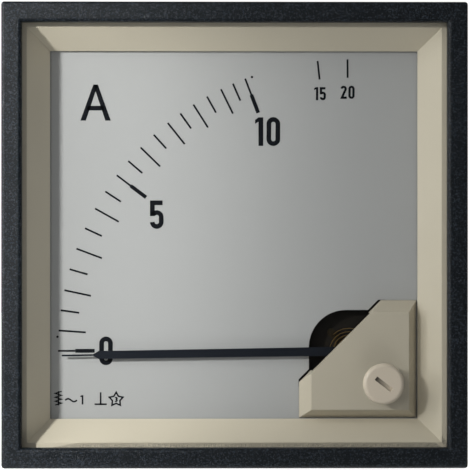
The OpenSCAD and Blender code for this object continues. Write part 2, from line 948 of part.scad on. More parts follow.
module coil_bobbin() {
    tube_r = bobbin_bore_r + bobbin_wall;
    color("#d8d2c2")
    at(pivot)
        difference() {
            turned() {
                translate([bobbin_bore_r, y_bobbin]) square([bobbin_wall, bobbin_len]);
                for (y = [y_bobbin, y_bobbin_rear - bobbin_wall])
                    translate([tube_r - eps, y]) square([bobbin_r - tube_r + eps, bobbin_wall]);
            }
            for (a = tail_angles)
                polar(outer_wire_r, a)
                    rod(y_bobbin_rear - 2 * bobbin_wall, y_bobbin_rear + 1, wire_d / 2 + 0.1);
        }
}

// Solid inner layers under an outer layer of round turns, with two tails through the rear flange.
module coil_winding() {
    room = bobbin_len - 2 * bobbin_wall - 0.1;
    turns = floor(room / wire_d);
    y0 = y_bobbin + bobbin_wall + 0.05 + (room - turns * wire_d) / 2;
    color("#a9562a")
    at(pivot)
        union() {
            turned() {
                translate([winding_r, y0]) square([outer_wire_r - winding_r, turns * wire_d]);
                for (i = [0 : turns - 1])
                    translate([outer_wire_r, y0 + (i + 0.5) * wire_d]) circle(wire_d / 2);
            }
            for (a = tail_angles)
                polar(outer_wire_r, a)
                    rod(y0 + (turns - 0.5) * wire_d, y_case_floor - 0.05, wire_d / 2);
        }
}

// Curved sheet in the bobbin's bore, cut to a tongue that narrows along the pointer's travel.
module fixed_iron() {
    r = bobbin_bore_r - 0.05;
    y0 = y_bobbin + 2;
    y1 = y_bobbin_rear - 2;
    color("#8e9296")
    at(pivot)
        difference() {
            slab(y0, y1) rotate(-60) ring_sector(r - 0.6, r, 80);
            translate([0, y1, 0])
                rotate([38, 0, 0])
                    translate([-2 * r, -1, -4 * r])
                        cube([4 * r, 4 * r, 4 * r]);
        }
}

module damping_cup() {
    color("#1d1b1a")
    at(pivot)
        difference() {
            union() {
                rod(y_cup, y_cup + cup_wall, cup_r);
                slab(y_cup, y_lid)
                    difference() {
                        circle(cup_r);
                        circle(cup_r - cup_wall);
                    }
                // fixed wall that closes the air space
                aim(-30)
                    translate([spindle_r + 1.2, y_cup + eps, -cup_wall / 2])
                        cube([cup_r - spindle_r - 1.2 - cup_wall / 2, cup_depth - eps, cup_wall]);
            }
            rod(y_cup - 1, y_lid, spindle_r + 0.6);
        }
}

module damping_lid() {
    color("#1d1b1a")
    at(pivot)
        difference() {
            union() {
                rod(y_lid, y_lid + lid_t, cup_r);
                rod(y_lid, y_lid + lid_boss, bearing_r + 1.2);
            }
            rod(y_lid - 1, y_lid + lid_boss + 1, bearing_r + seat_clear);
        }
}

// ---------- terminals ----------

// Strap from a stud's head to a wire tail, flat against the case floor.
module strap(stud, tail_angle) {
    tail = polar_point(outer_wire_r, tail_angle);
    color("#b87333")
    slab(y_case_floor - strap_t, y_case_floor)
        difference() {
            link(stud, tail, strap_w);
            translate(stud) circle(stud_shank_r + 0.05);
            translate(tail) circle(wire_d / 2 + 0.05);
        }
}

module left_strap() {
    strap([-terminal_pitch / 2, terminal_height], tail_angles[1]);
}

module right_strap() {
    strap([terminal_pitch / 2, terminal_height], tail_angles[0]);
}

module at_studs() {
    for (s = stud_angles)
        at([s * terminal_pitch / 2, terminal_height]) children();
}

module terminal_studs() {
    head_t = 2.5;
    shank = stud_shank_r;
    taper = stud_shank_r - stud_r;
    y_head = y_case_floor - strap_t;
    tip = y_stud_free + stud_free;
    color("#c2a458")
    at_studs()
        union() {
            slab(y_head - head_t, y_head) circle(d = nut_flats / cos(30), $fn = 6);
            // shank in the wall and the nut, then the thinner free end
            turned()
                polygon([
                    [0, y_head - eps], [shank, y_head - eps], [shank, y_stud_free - taper],
                    [stud_r, y_stud_free], [stud_r, tip],
                    [stud_r - stud_chamfer, tip + stud_chamfer], [0, tip + stud_chamfer],
                ]);
        }
}

module terminal_washers() {
    color("#c9cbcd")
    at_studs()
        slab(y_seat, y_nut)
            difference() {
                circle(washer_r);
                circle(stud_shank_r + 0.15);
            }
}

module terminal_nuts() {
    across = nut_flats / cos(30);
    y_top = y_nut + nut_t;
    color("#c2a458")
    at_studs()
        intersection() {
            slab(y_nut, y_top)
                difference() {
                    circle(d = across, $fn = 6);
                    circle(stud_shank_r + 0.03);
                }
            // chamfered corners
            turned()
                polygon([
                    [0, y_nut], [nut_flats / 2, y_nut], [nut_flats / 2 + 1, y_nut + 0.6],
                    [nut_flats / 2 + 1, y_top - 0.6], [nut_flats / 2, y_top], [0, y_top],
                ]);
        }
}

front_bezel();
window_pane();
mask_frame();
case();
dial_plate();
corner_cover();
zero_adjuster();
adjuster_clip();
zero_lever();
hairspring();
lever_bush();
front_bridge();
bridge_screws();
stop_pins();
front_bearing();
rear_bearing();
pointer();
pointer_hub();
counterweight();
spindle();
moving_iron();
damping_vane();
front_plate();
rear_plate();
frame_posts();
frame_screws();
coil_bobbin();
coil_winding();
fixed_iron();
damping_cup();
damping_lid();
left_strap();
right_strap();
terminal_studs();
terminal_washers();
terminal_nuts();
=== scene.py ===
"""Dresses the panel meter: materials, dial print, threaded studs, light and camera.

Lengths in this file are in millimetres until a mesh is written, which is in metres.
The meter's window faces -Y, +Z is up, and the origin lies at the middle of the
bezel's rear face.
"""

import math

import bpy
import numpy as np
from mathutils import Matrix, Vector


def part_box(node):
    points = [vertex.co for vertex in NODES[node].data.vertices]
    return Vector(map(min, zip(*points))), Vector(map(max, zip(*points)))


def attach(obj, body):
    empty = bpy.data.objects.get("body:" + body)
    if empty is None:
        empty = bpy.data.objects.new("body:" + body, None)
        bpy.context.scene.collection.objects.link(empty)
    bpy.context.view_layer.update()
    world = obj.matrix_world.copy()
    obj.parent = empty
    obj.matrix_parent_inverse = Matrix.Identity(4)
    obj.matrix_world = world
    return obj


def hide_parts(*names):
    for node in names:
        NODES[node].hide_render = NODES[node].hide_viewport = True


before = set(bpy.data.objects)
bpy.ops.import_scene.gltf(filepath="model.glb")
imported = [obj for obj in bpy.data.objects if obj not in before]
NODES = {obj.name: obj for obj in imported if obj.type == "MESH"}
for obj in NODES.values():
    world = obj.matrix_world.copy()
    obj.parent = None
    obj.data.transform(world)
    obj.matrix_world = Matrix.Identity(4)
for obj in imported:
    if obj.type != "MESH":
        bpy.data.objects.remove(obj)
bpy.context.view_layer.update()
MM = 0.001
CASE = "meter_case"


def low(node):
    """Lowest corner of a CAD node in millimetres."""
    return np.array(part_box(node)[0]) / MM


def high(node):
    """Highest corner of a CAD node in millimetres."""
    return np.array(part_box(node)[1]) / MM


# ---------------------------------------------------------------- places

DIAL_FACE = low("dial_plate")[1]
PIVOT = (low("spindle") + high("spindle")) / 2
BUTTON = (low("zero_adjuster") + high("zero_adjuster")) / 2
BUTTON_FACE = low("zero_adjuster")[1]
BEZEL_FRONT = low("front_bezel")[1]
BASE_LEVEL = low("front_bezel")[2]


# ---------------------------------------------------------------- mesh tools

SHARPEST = 0.35  # least cosine of half a turn; the corner of a sharper one is cut short
SAME_POINT = 1e-4  # points of a path that lie closer than this are one


def make_piece(name, solids, material, body=CASE):
    """One object from several closed solids, each (points in mm, list of faces)."""
    points, faces, start = [], [], 0
    for solid_points, solid_faces in solids:
        points.append(np.asarray(solid_points, float))
        faces += [tuple(int(i) + start for i in face) for face in solid_faces]
        start += len(solid_points)
    mesh = bpy.data.meshes.new(name)
    mesh.from_pydata((np.concatenate(points) * MM).tolist(), [], faces)
    mesh.update()
    mesh.materials.append(material)
    piece = bpy.data.objects.new(name, mesh)
    bpy.context.scene.collection.objects.link(piece)
    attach(piece, body)
    return piece


def flat_solid(outline, front, back):
    """A plate: the closed outline, given as X and Z counter-clockwise seen from -Y,
    carried along Y from front to back."""
    outline = np.asarray(outline, float)
    count = len(outline)
    ring = np.arange(count)
    after = (ring + 1) % count
    points = np.concatenate(
        [
            np.column_stack([outline[:, 0], np.full(count, level), outline[:, 1]])
            for level in (front, back)
        ]
    )
    sides = np.column_stack([after, ring, ring + count, after + count])
    faces = [tuple(ring), tuple(ring[::-1] + count)] + [tuple(f) for f in sides]
    return points, faces


def stroke(path, width, front, back, closed=False):
    """A printed line: a rectangle width x (back - front) carried along a path in X and Z.

    Each path point is shifted to both sides along the mean of the two neighbouring
    normals, divided by the cosine of half the turn, so that the width stays true."""
    path = np.asarray(path, float)
    step = np.roll(path, -1, axis=0) - path
    if not closed:
        step[-1] = step[-2]
    step /= np.linalg.norm(step, axis=1)[:, None]
    before = np.roll(step, 1, axis=0)
    if not closed:
        before[0] = step[0]
    normal = np.column_stack([-step[:, 1], step[:, 0]])
    normal_before = np.column_stack([-before[:, 1], before[:, 0]])
    mean = normal + normal_before
    mean /= np.linalg.norm(mean, axis=1)[:, None]
    half = width / 2 / np.clip((mean * normal).sum(axis=1), SHARPEST, 1)[:, None]
    left, right = path + mean * half, path - mean * half
    count = len(path)

    def level(side, y):
        return np.column_stack([side[:, 0], np.full(count, y), side[:, 1]])

    points = np.concatenate(
        [level(left, front), level(right, front), level(right, back), level(left, back)]
    )
    i = np.arange(count if closed else count - 1)
    j = (i + 1) % count
    faces = []
    for side in range(4):
        a, b = side * count, (side + 1) % 4 * count
        faces += [tuple(f) for f in np.column_stack([i + a, j + a, j + b, i + b])[:, ::-1]]
    if not closed:
        start = np.arange(4) * count
        faces += [tuple(start[::-1]), tuple(start + count - 1)]
    return points, [f[::-1] for f in faces]


def arc(x, z, reach_x, reach_z, start, end, count=17):
    """Points at x + reach_x cos(a), z + reach_z sin(a), for a from start to end degrees."""
    a = np.radians(np.linspace(start, end, count))
    return np.column_stack([x + reach_x * np.cos(a), z + reach_z * np.sin(a)])


def joined(*paths):
    """One path from several, without the points that repeat."""
    path = np.concatenate([np.asarray(p, float) for p in paths])
    keep = np.ones(len(path), bool)
    keep[1:] = np.linalg.norm(np.diff(path, axis=0), axis=1) > SAME_POINT
    return path[keep]


# ---------------------------------------------------------------- digits
# The plain numbers beside tall, wide and pen are shares of them.

PRINT_PROUD = 0.03
PRINT_SUNK = 0.02
PRINT_FRONT = DIAL_FACE - PRINT_PROUD
PRINT_BACK = DIAL_FACE + PRINT_SUNK


def line(path, width, at=(0, 0), closed=False):
    """A printed line on the dial, its path shifted by at."""
    return stroke(np.asarray(path, float) + at, width, PRINT_FRONT, PRINT_BACK, closed)


def patch(outline, at=(0, 0)):
    """A printed patch on the dial, its outline shifted by at."""
    return flat_solid(np.asarray(outline, float) + at, PRINT_FRONT, PRINT_BACK)


def digit_zero(at, tall, wide, pen):
    """A tall loop with half-round ends."""
    r = (wide - pen) / 2
    x = wide / 2
    loop = joined(
        arc(x, tall - pen / 2 - r, r, r, 0, 180)[:-1],
        arc(x, pen / 2 + r, r, r, 180, 360)[:-1],
    )
    return [line(loop, pen, at, closed=True)]


def digit_one(at, tall, wide, pen):
    """A stem with a short flag that slants down to the left."""
    stem = [(wide - pen, 0), (wide, 0), (wide, tall), (wide - pen, tall)]
    flag = [(0, tall * 0.77), (wide - pen, tall * 0.85), (wide - pen, tall), (0, tall * 0.91)]
    return [patch(stem, at), patch(flag, at)]


def digit_five(at, tall, wide, pen):
    """A bar, a short stem and an open bowl."""
    r = (wide - pen) / 2
    x = wide / 2
    angle = joined(
        [(wide * 0.93, tall - pen / 2), (pen / 2, tall - pen / 2), (pen / 2, tall * 0.45)]
    )
    bowl_top = tall * 0.655 - pen / 2 - r
    bowl = joined(
        arc(x, bowl_top, r, r, 150, 0),
        arc(x, pen / 2 + r, r, r, 0, -180),
    )
    return [line(angle, pen, at), line(bowl, pen, at)]


def digit_two(at, tall, wide, pen):
    """A half-round top, a slanting leg and a foot."""
    r = (wide - pen) / 2
    path = joined(
        arc(wide / 2, tall - pen / 2 - r, r, r, 175, -25),
        [(pen * 0.62, pen / 2), (wide, pen / 2)],
    )
    return [line(path, pen, at)]


def digit_three(at, tall, wide, pen):
    """Two half-round bows, one above the other."""
    r = (tall - pen) / 4
    x = wide - pen / 2 - r
    path = joined(
        arc(x, tall - pen / 2 - r, r, r, 150, -75, 12),
        arc(x, pen / 2 + r, r, r, 75, -150, 12),
    )
    return [line(path, pen, at)]


DIGITS = {
    "0": digit_zero,
    "1": digit_one,
    "2": digit_two,
    "3": digit_three,
    "5": digit_five,
}


# ---------------------------------------------------------------- shader tools


class Sheet:
    """A material's node tree with short words for adding and linking nodes."""

    def __init__(self, name, colour, roughness, metallic=0.0):
        self.material = bpy.data.materials.new(name)
        self.material.use_nodes = True
        self.material.diffuse_color = (*colour, 1)
        self.tree = self.material.node_tree
        self.shader = self.tree.nodes["Principled BSDF"]
        self.output = self.tree.nodes["Material Output"]
        self.set("Base Color", (*colour, 1))
        self.set("Roughness", roughness)
        self.set("Metallic", metallic)

    def set(self, socket, value):
        self.shader.inputs[socket].default_value = value

    def add(self, kind, **values):
        return add_node(self.tree, kind, **values)

    def link(self, source, target):
        self.tree.links.new(source, target)

    def colour(self, source):
        """Feeds the base colour."""
        self.link(source, self.shader.inputs["Base Color"])

    def place(self):
        """The point's place in the object's own coordinates, in metres."""
        return self.add("ShaderNodeTexCoord").outputs["Object"]

    def group(self, tree, **values):
        """A node group with its values, fed with the point's place."""
        node = self.add("ShaderNodeGroup")
        node.node_tree = tree
        for name, value in values.items():
            node.inputs[name].default_value = value
        self.link(self.place(), node.inputs["Place"])
        return node

    def roughness(self, value, low_end, high_end):
        """Feeds the roughness with a number that goes from low_end to high_end as value
        goes from 0 to 1."""
        node = self.add("ShaderNodeMapRange")
        node.inputs["To Min"].default_value = low_end
        node.inputs["To Max"].default_value = high_end
        self.link(value, node.inputs["Value"])
        self.link(node.outputs[0], self.shader.inputs["Roughness"])

    def bump(self, height, depth, round_edge=0.0):
        """Surface relief of that depth from a height between 0 and 1, on edges rounded
        with the radius round_edge; both in millimetres."""
        node = self.add("ShaderNodeBump")
        node.inputs["Distance"].default_value = depth * MM
        self.link(height, node.inputs["Height"])
        self.link(node.outputs["Normal"], self.shader.inputs["Normal"])
        if round_edge:
            rounding = self.add("ShaderNodeBevel", samples=6)
            rounding.inputs["Radius"].default_value = round_edge * MM
            self.link(rounding.outputs["Normal"], node.inputs["Normal"])


def add_node(tree, kind, **values):
    """A node with its properties and its inputs set by name."""
    node = tree.nodes.new(kind)
    for name, value in values.items():
        if hasattr(node, name):
            setattr(node, name, value)
        else:
            node.inputs[name.replace("_", " ")].default_value = value
    return node


def new_group(name, inputs, outputs):
    """An empty node group with its sockets: inputs and outputs are (name, kind, value)."""
    tree = bpy.data.node_groups.new(name, "ShaderNodeTree")
    for direction, sockets in (("INPUT", inputs), ("OUTPUT", outputs)):
        for socket_name, kind, value in sockets:
            socket = tree.interface.new_socket(
                socket_name, in_out=direction, socket_type="NodeSocket" + kind
            )
            if value is not None:
                socket.default_value = value
    return tree, tree.nodes.new("NodeGroupInput"), tree.nodes.new("NodeGroupOutput")


def maths(tree, operation, a, b=0.0, clamp=False):
    """The output of a math node on two sockets or numbers."""
    node = tree.nodes.new("ShaderNodeMath")
    node.operation = operation
    node.use_clamp = clamp
    for value, socket in ((a, node.inputs[0]), (b, node.inputs[1])):
        if isinstance(value, (int, float)):
            socket.default_value = value
        else:
            tree.links.new(value, socket)
    return node.outputs[0]


def mixed(tree, factor, a, b):
    """The output of a colour mix of two sockets or colours."""
    node = tree.nodes.new("ShaderNodeMix")
    node.data_type = "RGBA"
    for value, index in ((factor, 0), (a, 6), (b, 7)):
        if isinstance(value, (int, float)):
            node.inputs[index].default_value = value
        elif isinstance(value, tuple):
            node.inputs[index].default_value = (*value, 1)
        else:
            tree.links.new(value, node.inputs[index])
    return node.outputs[2]


# Grains whose random number is over SPARKS_FROM are sparks, the brightest at about 1.
SPARKS_FROM = 0.62
SPARKS_GAIN = 2.6
# Pointiness is 0.5 on a flat face. Wear starts at POINTED_FROM and rises with the gain,
# and its noise has WEAR_SCALE cells to the metre.
POINTED_FROM = 0.52
POINTED_GAIN = 12.0
WEAR_SCALE = 900.0


def moulded_skin():
    """Fine relief of moulded plastic: fine noise for the eroded skin, a slow one for
    patches of more and less gloss, and Sparks on a few single grains, picked by a random
    number for each cell. Where a material asks for it, these grains are smoother and carry
    a painted glint in their colour. Grain is the size of one bump in millimetres."""
    tree, into, out = new_group(
        "moulded_skin",
        [("Place", "Vector", None), ("Grain", "Float", 0.3), ("Patch", "Float", 12.0)],
        [("Relief", "Float", None), ("Patches", "Float", None), ("Sparks", "Float", None)],
    )
    fine = add_node(tree, "ShaderNodeTexNoise", Detail=3.0, Roughness=0.6)
    slow = add_node(tree, "ShaderNodeTexNoise", Detail=2.0, Roughness=0.5)
    links = tree.links
    for noise, size in ((fine, "Grain"), (slow, "Patch")):
        links.new(into.outputs["Place"], noise.inputs["Vector"])
        links.new(maths(tree, "DIVIDE", 1 / MM, into.outputs[size]), noise.inputs["Scale"])
    links.new(fine.outputs[0], out.inputs["Relief"])
    links.new(slow.outputs[0], out.inputs["Patches"])
    cells = add_node(tree, "ShaderNodeTexVoronoi", feature="F1")
    links.new(into.outputs["Place"], cells.inputs["Vector"])
    links.new(maths(tree, "DIVIDE", 1 / MM, into.outputs["Grain"]), cells.inputs["Scale"])
    chance = add_node(tree, "ShaderNodeSeparateColor")
    links.new(cells.outputs["Color"], chance.inputs[0])
    picked = maths(tree, "SUBTRACT", chance.outputs[0], SPARKS_FROM)
    links.new(maths(tree, "MULTIPLY", picked, SPARKS_GAIN, clamp=True), out.inputs["Sparks"])
    return tree


def turned_marks():
    """Rings left by turning about an axis along Y through Centre, which is in metres:
    noise along the distance from that axis. Ring is the width of one ring in
    millimetres."""
    tree, into, out = new_group(
        "turned_marks",
        [("Place", "Vector", None), ("Centre", "Vector", None), ("Ring", "Float", 0.12)],
        [("Marks", "Float", None)],
    )
    shift = add_node(tree, "ShaderNodeVectorMath", operation="SUBTRACT")
    flat = add_node(tree, "ShaderNodeVectorMath", operation="MULTIPLY")
    flat.inputs[1].default_value = (1, 0, 1)
    reach = add_node(tree, "ShaderNodeVectorMath", operation="LENGTH")
    links = tree.links
    links.new(into.outputs["Place"], shift.inputs[0])
    links.new(into.outputs["Centre"], shift.inputs[1])
    links.new(shift.outputs[0], flat.inputs[0])
    links.new(flat.outputs[0], reach.inputs[0])
    reach_mm = maths(tree, "MULTIPLY", reach.outputs["Value"], 1 / MM)
    noise = add_node(tree, "ShaderNodeTexNoise", noise_dimensions="1D", Detail=2.0, Scale=1.0)
    links.new(maths(tree, "DIVIDE", reach_mm, into.outputs["Ring"]), noise.inputs["W"])
    links.new(noise.outputs[0], out.inputs["Marks"])
    return tree


def drawn_marks():
    """Fine lines left by rolling or drawing metal: noise stretched by Stretch, a factor
    for each axis. Line is the width of one line in millimetres."""
    tree, into, out = new_group(
        "drawn_marks",
        [("Place", "Vector", None), ("Stretch", "Vector", None), ("Line", "Float", 0.1)],
        [("Marks", "Float", None)],
    )
    squeezed = add_node(tree, "ShaderNodeVectorMath", operation="MULTIPLY")
    noise = add_node(tree, "ShaderNodeTexNoise", Detail=3.0, Roughness=0.65)
    links = tree.links
    links.new(into.outputs["Place"], squeezed.inputs[0])
    links.new(into.outputs["Stretch"], squeezed.inputs[1])
    links.new(squeezed.outputs[0], noise.inputs["Vector"])
    links.new(maths(tree, "DIVIDE", 1 / MM, into.outputs["Line"]), noise.inputs["Scale"])
    links.new(noise.outputs[0], out.inputs["Marks"])
    return tree


def worn_edges():
    """A mask of the outward edges, from the mesh's own sharpness, broken up by noise."""
    tree, into, out = new_group(
        "worn_edges",
        [("Place", "Vector", None), ("Wear", "Float", 0.5)],
        [("Edges", "Float", None)],
    )
    sharp = add_node(tree, "ShaderNodeNewGeometry").outputs["Pointiness"]
    noise = add_node(tree, "ShaderNodeTexNoise", Detail=3.0, Scale=WEAR_SCALE)
    links = tree.links
    links.new(into.outputs["Place"], noise.inputs["Vector"])
    over = maths(tree, "SUBTRACT", sharp, POINTED_FROM)
    raised = maths(tree, "MULTIPLY", over, POINTED_GAIN, clamp=True)
    broken = maths(tree, "MULTIPLY", raised, noise.outputs[0])
    edges = maths(tree, "MULTIPLY", broken, into.outputs["Wear"], clamp=True)
    links.new(edges, out.inputs["Edges"])
    return tree


SKIN = moulded_skin()
TURNED = turned_marks()
DRAWN = drawn_marks()
EDGES = worn_edges()


# Painted shade where the cover's foot meets the dial: its colour, and where it sets in.
SEAM_SHADE = (0.09, 0.075, 0.06)
SEAM_FADE = 0.25  # millimetres over which a seam's painted shade sets in
SEAM_HEIGHT = 0.2  # from the dial to where the painted shade at the cover's foot starts
WORN_GAIN, WORN_LIFT = 1.5, 0.02  # how much paler than the plastic its worn edges are
PATCH_LEAST, PATCH_MOST = 0.9, 1.12  # roughness over the slow patches, as shares
MARK_LEAST, MARK_MOST = 0.75, 1.3  # roughness over a metal's marks, as shares


def plastic(
    name, colour, pale, roughness, grain, depth, patch=14.0, wear=0.0, glint=0.0, shine=0.5,
    painted_glint=None, round_edge=0.0, seam=None,
):
    """Moulded plastic or paint: colour drifts towards pale in slow patches, with relief of
    that grain and depth. Glint is how much the roughness changes from grain to grain,
    spark a paler colour painted on single grains as painted glints, round_edge the radius
    of the edges, and seam the place along Y past which the edge darkens into painted
    shade. Sizes are in millimetres."""
    sheet = Sheet(name, colour, roughness)
    sheet.set("Specular IOR Level", shine)
    skin = sheet.group(SKIN, Grain=grain, Patch=patch)
    tint = mixed(sheet.tree, skin.outputs["Patches"], colour, pale)
    # Painted glints: single grains get the paler colour given as spark.
    if painted_glint:
        tint = mixed(sheet.tree, skin.outputs["Sparks"], tint, painted_glint)
    if wear:
        edges = sheet.group(EDGES, Wear=wear)
        worn = tuple(min(1.0, c * WORN_GAIN + WORN_LIFT) for c in pale)
        tint = mixed(sheet.tree, edges.outputs["Edges"], tint, worn)
    # Painted shade at the seam: past seam along Y the plastic darkens.
    if seam is not None:
        place = sheet.add("ShaderNodeSeparateXYZ")
        sheet.link(sheet.place(), place.inputs[0])
        past = maths(sheet.tree, "SUBTRACT", place.outputs["Y"], seam * MM)
        seam_shaded = maths(sheet.tree, "MULTIPLY", past, 1 / SEAM_FADE / MM, clamp=True)
        tint = mixed(sheet.tree, seam_shaded, tint, SEAM_SHADE)
    sheet.colour(tint)
    if painted_glint:
        sheet.roughness(skin.outputs["Sparks"], roughness, roughness - glint)
    elif glint:
        sheet.roughness(skin.outputs["Relief"], roughness + glint, roughness - glint)
    else:
        sheet.roughness(
            skin.outputs["Patches"], roughness * PATCH_LEAST, roughness * PATCH_MOST
        )
    sheet.bump(skin.outputs["Relief"], depth, round_edge)
    return sheet.material


def metal(name, colour, dull, roughness, marks, depth=0.01, **values):
    """Bare metal: colour and a dull shade mixed by the marks of its making, which are
    rougher than the metal between them."""
    sheet = Sheet(name, colour, roughness, metallic=1.0)
    lines = sheet.group(marks, **values).outputs["Marks"]
    sheet.colour(mixed(sheet.tree, lines, colour, dull))
    sheet.roughness(lines, roughness * MARK_LEAST, roughness * MARK_MOST)
    sheet.bump(lines, depth)
    return sheet.material


def enamelled_wire():
    """Copper wire under brown enamel: one turn beside the other shows as fine lines."""
    sheet = Sheet("enamelled_copper", (0.36, 0.11, 0.035), 0.22)
    sheet.set("Coat Weight", 0.6)
    lines = sheet.group(DRAWN, Stretch=(1, 6, 1), Line=0.4).outputs["Marks"]
    sheet.colour(mixed(sheet.tree, lines, (0.42, 0.14, 0.04), (0.26, 0.075, 0.02)))
    sheet.roughness(lines, 0.18, 0.3)
    return sheet.material


PANE_TINT = (0.985, 0.99, 0.99, 1)
PANE_ROUGHNESS = 0.02
PANE_IOR = 1.45


def clear_pane():
    """Clear pane: lets light through unbent, and mirrors as much as Fresnel's law says on
    the faces that light meets from outside."""
    sheet = Sheet("pane", (1, 1, 1), PANE_ROUGHNESS)
    clear = sheet.add("ShaderNodeBsdfTransparent")
    clear.inputs["Color"].default_value = PANE_TINT
    gloss = sheet.add("ShaderNodeBsdfGlossy")
    gloss.inputs["Roughness"].default_value = PANE_ROUGHNESS
    fresnel = sheet.add("ShaderNodeFresnel")
    fresnel.inputs["IOR"].default_value = PANE_IOR
    inside = sheet.add("ShaderNodeNewGeometry").outputs["Backfacing"]
    outside = maths(sheet.tree, "SUBTRACT", 1.0, inside)
    join = sheet.add("ShaderNodeMixShader")
    sheet.link(maths(sheet.tree, "MULTIPLY", fresnel.outputs[0], outside), join.inputs[0])
    sheet.link(clear.outputs[0], join.inputs[1])
    sheet.link(gloss.outputs[0], join.inputs[2])
    sheet.link(join.outputs[0], sheet.output.inputs["Surface"])
    sheet.tree.nodes.remove(sheet.shader)
    return sheet.material


BUTTON_COLOUR = (0.62, 0.555, 0.45)
BUTTON_PALE = (0.66, 0.59, 0.48)
# Painted shade in the slot of the zero screw: its colour and its strength.
SLOT_SHADE = (0.05, 0.042, 0.033)
SLOT_SHADE_AMOUNT = 0.42
# The slot's length and width in millimetres, and its turn in degrees. What lies within
# SLOT_EDGE times half of them, and SLOT_SUNK under the face, is the slot's own.
SLOT_LONG, SLOT_WIDE, SLOT_ANGLE = 4.1, 0.85, 37.0
SLOT_EDGE = 1.03
SLOT_SUNK = 0.06


def slotted_button():
    """The cream plastic of the zero screw, with painted shade in its slot: darkest at the
    upper end, where the length along the slot divided by its half is -1, and none at +1."""
    sheet = Sheet("button_plastic", BUTTON_COLOUR, 0.38)
    tree = sheet.tree
    skin = sheet.group(SKIN, Grain=0.4, Patch=5.0)
    tint = mixed(tree, skin.outputs["Patches"], BUTTON_COLOUR, BUTTON_PALE)
    turned = sheet.add("ShaderNodeMapping", vector_type="TEXTURE")
    turned.inputs["Location"].default_value = Vector(BUTTON) * MM
    turned.inputs["Rotation"].default_value = (0, math.radians(SLOT_ANGLE), 0)
    sheet.link(sheet.place(), turned.inputs["Vector"])
    own = sheet.add("ShaderNodeSeparateXYZ")
    sheet.link(turned.outputs["Vector"], own.inputs[0])
    along = maths(tree, "DIVIDE", own.outputs["X"], SLOT_LONG / 2 * MM)
    across = maths(tree, "DIVIDE", own.outputs["Z"], SLOT_WIDE / 2 * MM)
    off = maths(
        tree, "MAXIMUM", maths(tree, "ABSOLUTE", along), maths(tree, "ABSOLUTE", across)
    )
    inside = maths(tree, "LESS_THAN", off, SLOT_EDGE)
    depth = maths(tree, "SUBTRACT", own.outputs["Y"], (BUTTON_FACE - BUTTON[1]) * MM)
    sunk = maths(tree, "GREATER_THAN", depth, SLOT_SUNK * MM)
    amount = maths(
        tree, "MULTIPLY", maths(tree, "SUBTRACT", 1.0, along), SLOT_SHADE_AMOUNT, clamp=True
    )
    # Painted shade on the slot's floor, darker towards its upper end.
    slot_shade = maths(tree, "MULTIPLY", maths(tree, "MULTIPLY", inside, sunk), amount)
    sheet.colour(mixed(tree, slot_shade, tint, SLOT_SHADE))
    sheet.roughness(skin.outputs["Patches"], 0.34, 0.43)
    sheet.bump(skin.outputs["Relief"], 0.006, round_edge=0.15)
    return sheet.material


# ---------------------------------------------------------------- materials

# The bezel's paler single grains are painted glints.
bezel_black = plastic(
    "bezel_black", (0.0015, 0.0042, 0.0072), (0.0035, 0.0068, 0.0105),
    roughness=0.43, grain=0.25, depth=0.12, patch=9.0,
    glint=0.2, shine=0.29, painted_glint=(0.036, 0.046, 0.06), round_edge=0.06,
)
case_black = plastic(
    "case_black", (0.018, 0.019, 0.02), (0.026, 0.027, 0.028),
    roughness=0.5, grain=0.35, depth=0.06, patch=16.0, wear=0.3, glint=0.15,
)
cream_plastic = plastic(
    "cream_plastic", (0.67, 0.613, 0.49), (0.71, 0.652, 0.525),
    roughness=0.42, grain=0.5, depth=0.006, patch=18.0, round_edge=0.03,
)
cover_plastic = plastic(
    "cover_plastic", (0.58, 0.53, 0.425), (0.62, 0.567, 0.455),
    roughness=0.42, grain=0.5, depth=0.006, patch=12.0, round_edge=0.25,
    seam=DIAL_FACE - SEAM_HEIGHT,
)
button_plastic = slotted_button()
dial_paint = plastic(
    "dial_paint", (0.456, 0.463, 0.465), (0.469, 0.476, 0.478),
    roughness=0.55, grain=0.3, depth=0.004, patch=20.0, shine=0.3,
)
print_ink = plastic(
    "print_ink", (0.004, 0.0055, 0.0085), (0.006, 0.008, 0.0115),
    roughness=0.6, grain=0.15, depth=0.003, shine=0.1,
)
pointer_paint = plastic(
    "pointer_paint", (0.006, 0.009, 0.0155), (0.009, 0.0125, 0.02),
    roughness=0.5, grain=0.2, depth=0.004, shine=0.2,
)
natural_plastic = plastic(
    "natural_plastic", (0.4, 0.36, 0.28), (0.5, 0.45, 0.36),
    roughness=0.45, grain=0.4, depth=0.006,
)
# Black plastic of the movement, made darker still as painted shade deep inside the meter.
frame_plastic = plastic(
    "frame_plastic", (0.016, 0.0135, 0.0105), (0.022, 0.018, 0.0135),
    roughness=0.45, grain=0.4, depth=0.01, shine=0.3,
)
brass = metal(
    "brass", (0.64, 0.48, 0.235), (0.5, 0.365, 0.17), 0.32, TURNED,
    Centre=tuple(PIVOT * MM), Ring=0.15,
)
bronze = metal(
    "bronze", (0.62, 0.42, 0.18), (0.5, 0.33, 0.13), 0.3, DRAWN, Stretch=(1, 8, 1), Line=0.08
)
steel = metal(
    "steel", (0.58, 0.59, 0.6), (0.45, 0.46, 0.47), 0.3, DRAWN, Stretch=(1, 1, 5), Line=0.12
)
iron = metal(
    "iron", (0.32, 0.32, 0.33), (0.22, 0.21, 0.21), 0.42, DRAWN, Stretch=(1, 6, 1), Line=0.15
)
